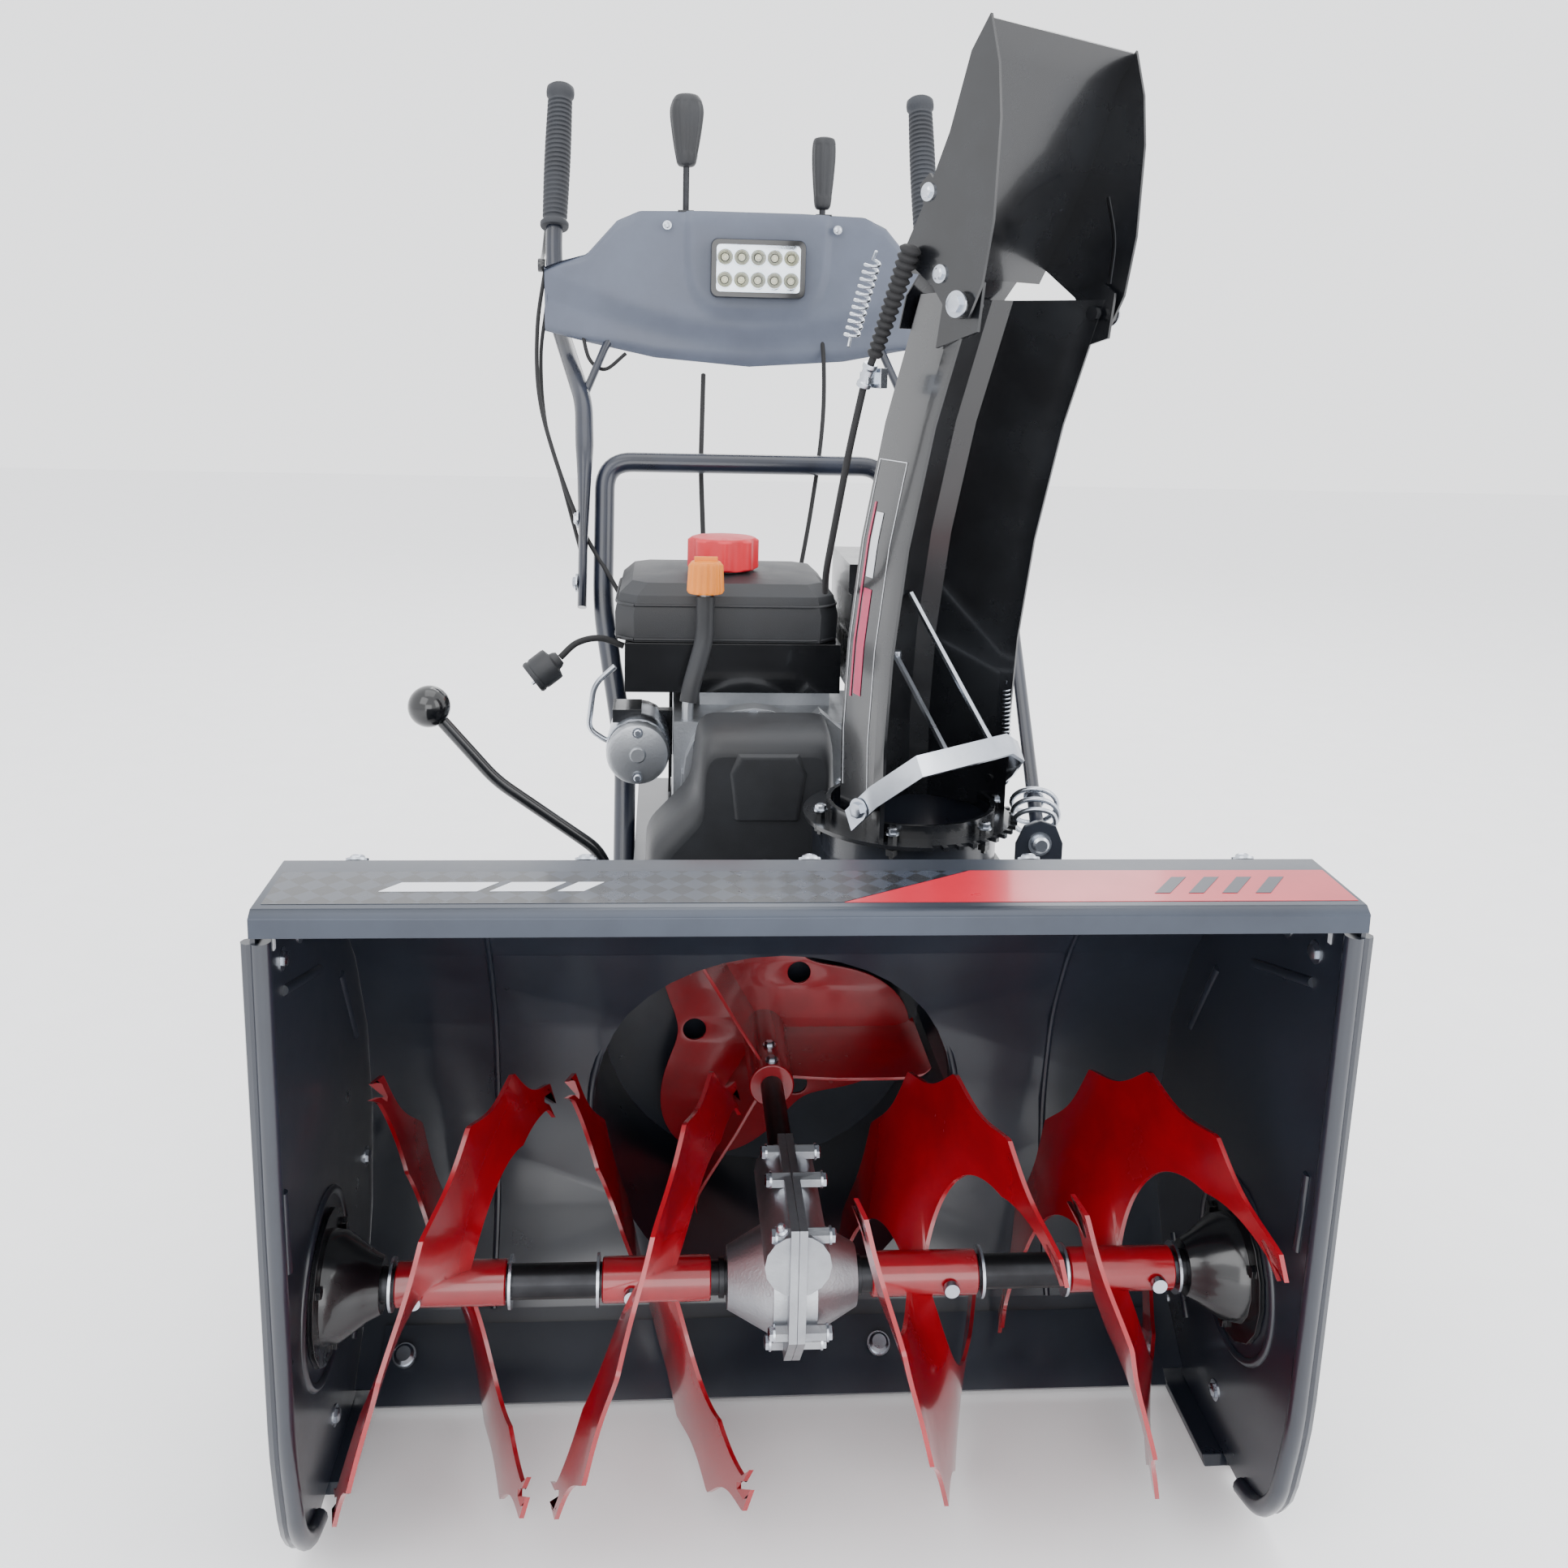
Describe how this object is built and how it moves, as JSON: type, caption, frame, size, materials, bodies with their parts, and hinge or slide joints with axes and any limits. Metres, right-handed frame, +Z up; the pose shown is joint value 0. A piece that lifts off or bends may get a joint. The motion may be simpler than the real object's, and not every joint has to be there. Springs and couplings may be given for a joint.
{
  "type": "two stage snowblower",
  "caption": "Walk-behind two stage snowblower: red auger and impeller in a wide housing, turning chute with deflector, engine, rubber tracks and upright handles.",
  "frame": {"origin": "middle of the underside of the machine's bounding box, on the ground", "axes": "+Z up, -Y the way the intake faces, +X to the right of someone who faces the intake"},
  "size_m": [0.708, 1.2614, 1.2078],
  "materials": {
    "housing_paint": "gloss dark navy grey enamel",
    "rail_paint": "satin grey metallic enamel",
    "red_paint": "gloss red enamel",
    "black_paint": "gloss black enamel",
    "tube_paint": "gloss dark tube enamel",
    "cast_alu": "as cast",
    "zinc": "bright zinc plate",
    "steel": "dark oiled steel",
    "rubber": "matt",
    "black_plastic": "fine texture",
    "gloss_plastic": "gloss black",
    "slate_plastic": "satin slate grey",
    "grip_rubber": "ribbed soft grip",
    "cap_red": "satin red",
    "cap_orange": "satin orange",
    "lens": "clear lamp lens"
  },
  "bodies": {
    "machine": {"auger_housing": "housing_paint", "side_plate_left": "housing_paint", "side_plate_right": "housing_paint", "top_rail": "rail_paint", "scraper_bar": "housing_paint", "skid_shoe_left": "housing_paint", "skid_shoe_right": "housing_paint", "auger_bearing_left": "black_paint", "auger_bearing_right": "black_paint", "gearbox_left": "cast_alu", "gearbox_right": "cast_alu", "auger_belt": "rubber", "belt_cover": "black_plastic", "engine_block": "cast_alu", "engine_shroud": "gloss_plastic", "fuel_tank": "black_plastic", "starter_motor": "black_paint", "muffler_guard": "black_paint", "chassis": "housing_paint", "lower_handle": "tube_paint", "upper_handle_left": "tube_paint", "upper_handle_right": "tube_paint", "grip_left": "grip_rubber", "grip_right": "grip_rubber", "panel": "slate_plastic", "headlight": "lens", "chute_ring": "steel", "crank_bracket": "housing_paint", "control_cable": "rubber", "power_cord": "rubber", "power_plug": "black_plastic"},
    "auger": {"auger_shaft": "steel", "flight_left_outer": "red_paint", "flight_left_inner": "red_paint", "flight_right_inner": "red_paint", "flight_right_outer": "red_paint", "shear_pin_left": "zinc", "shear_pin_right": "zinc"},
    "impeller_set": {"impeller_shaft": "steel", "impeller": "red_paint"},
    "crankshaft": {"engine_pulley": "steel"},
    "chute_body": {"chute": "black_paint", "deflector_cable": "rubber", "deflector_spring": "zinc"},
    "deflector_body": {"deflector": "black_paint"},
    "guard_body": {"chute_guard": "zinc"},
    "crank_body": {"chute_crank": "zinc"},
    "fuel_cap_body": {"fuel_cap": "cap_red"},
    "oil_cap_body": {"oil_cap": "cap_orange"},
    "recoil_body": {"recoil_handle": "black_plastic"},
    "drive_wheels": {"drive_axle": "steel"},
    "track_body": {"track_frame": "housing_paint", "track_left": "rubber", "track_right": "rubber"},
    "idler_body": {"idler_axle": "black_paint"},
    "height_body": {"height_lever": "black_paint"},
    "left_clutch": {"clutch_lever_left": "black_paint"},
    "right_clutch": {"clutch_lever_right": "black_paint"},
    "shift_body": {"shift_lever": "black_plastic"},
    "tilt_body": {"deflector_lever": "black_plastic"}
  },
  "joints": [
    {"name": "auger_spin", "type": "hinge", "parent": "machine", "child": "auger", "pos_m": [0, -0.4826, 0.164], "axis": [1, 0, 0], "continuous": true},
    {"name": "impeller_spin", "type": "hinge", "parent": "machine", "child": "impeller_set", "pos_m": [0, -0.2176, 0.207], "axis": [0, 1, 0], "continuous": true},
    {"name": "engine_spin", "type": "hinge", "parent": "machine", "child": "crankshaft", "pos_m": [0, -0.1076, 0.42], "axis": [0, 1, 0], "continuous": true},
    {"name": "chute_rotation", "type": "hinge", "parent": "machine", "child": "chute_body", "pos_m": [0.124, -0.2196, 0.44], "axis": [0, 0, 1], "range_deg": [-130, 60]},
    {"name": "chute_crank_spin", "type": "hinge", "parent": "machine", "child": "crank_body", "pos_m": [0.235, -0.2416, 0.4382], "axis": [0.094, 0.8346, 0.5428], "range_deg": [-5760, 2680]},
    {"name": "deflector_tilt", "type": "hinge", "parent": "chute_body", "child": "deflector_body", "pos_m": [0.18996, -0.31381, 0.882], "axis": [0.8192, 0.5736, 0], "range_deg": [0, 50], "deforming": ["deflector_spring"]},
    {"name": "guard_swing", "type": "hinge", "parent": "chute_body", "child": "guard_body", "pos_m": [0.14006, -0.24254, 0.466], "axis": [0.8192, 0.5736, 0], "range_deg": [0, 30], "stiffness_Nm_per_rad": 1, "springref_deg": -17.19},
    {"name": "fuel_cap_turn", "type": "hinge", "parent": "machine", "child": "fuel_cap_body", "pos_m": [-0.035, 0.1024, 0.63], "axis": [0, 0, 1], "range_deg": [0, 90]},
    {"name": "oil_cap_turn", "type": "hinge", "parent": "machine", "child": "oil_cap_body", "pos_m": [-0.057, -0.0036, 0.62], "axis": [0, 0, 1], "range_deg": [0, 360]},
    {"name": "recoil_pull", "type": "slide", "parent": "machine", "child": "recoil_body", "axis": [0, 1, 0], "range_m": [0, 0.5], "stiffness_N_per_m": 20, "springref_m": -0.2},
    {"name": "drive_spin", "type": "hinge", "parent": "machine", "child": "drive_wheels", "pos_m": [0, 0.1824, 0.105], "axis": [1, 0, 0], "continuous": true},
    {"name": "track_tilt", "type": "hinge", "parent": "machine", "child": "track_body", "pos_m": [0, 0.1824, 0.105], "axis": [1, 0, 0], "range_deg": [-4, 5]},
    {"name": "idler_spin", "type": "hinge", "parent": "track_body", "child": "idler_body", "pos_m": [0, -0.0416, 0.091], "axis": [1, 0, 0], "continuous": true},
    {"name": "height_lever_swing", "type": "hinge", "parent": "machine", "child": "height_body", "pos_m": [-0.135, -0.0976, 0.3], "axis": [1, 0, 0], "range_deg": [-16, 20]},
    {"name": "left_clutch_squeeze", "type": "hinge", "parent": "machine", "child": "left_clutch", "pos_m": [-0.266, 0.5104, 0.96], "axis": [1, 0, 0], "range_deg": [0, 8], "stiffness_Nm_per_rad": 3, "springref_deg": -11.46},
    {"name": "right_clutch_squeeze", "type": "hinge", "parent": "machine", "child": "right_clutch", "pos_m": [0.266, 0.5104, 0.96], "axis": [1, 0, 0], "range_deg": [0, 8], "stiffness_Nm_per_rad": 3, "springref_deg": -11.46},
    {"name": "speed_shift", "type": "hinge", "parent": "machine", "child": "shift_body", "pos_m": [-0.077, 0.3964, 0.96], "axis": [1, 0, 0], "range_deg": [-30, 10]},
    {"name": "deflector_control", "type": "hinge", "parent": "machine", "child": "tilt_body", "pos_m": [0.095, 0.3964, 0.96], "axis": [1, 0, 0], "range_deg": [-30, 0]}
  ],
  "couplings": [
    {"joint": "impeller_spin", "follows": "auger_spin", "ratio": -12},
    {"joint": "engine_spin", "follows": "auger_spin", "ratio": -40.8},
    {"joint": "chute_crank_spin", "follows": "chute_rotation", "ratio": 44},
    {"joint": "idler_spin", "follows": "drive_spin", "ratio": 1.2105},
    {"joint": "height_lever_swing", "follows": "track_tilt", "ratio": 4},
    {"joint": "deflector_control", "follows": "deflector_tilt", "ratio": -0.6}
  ]
}
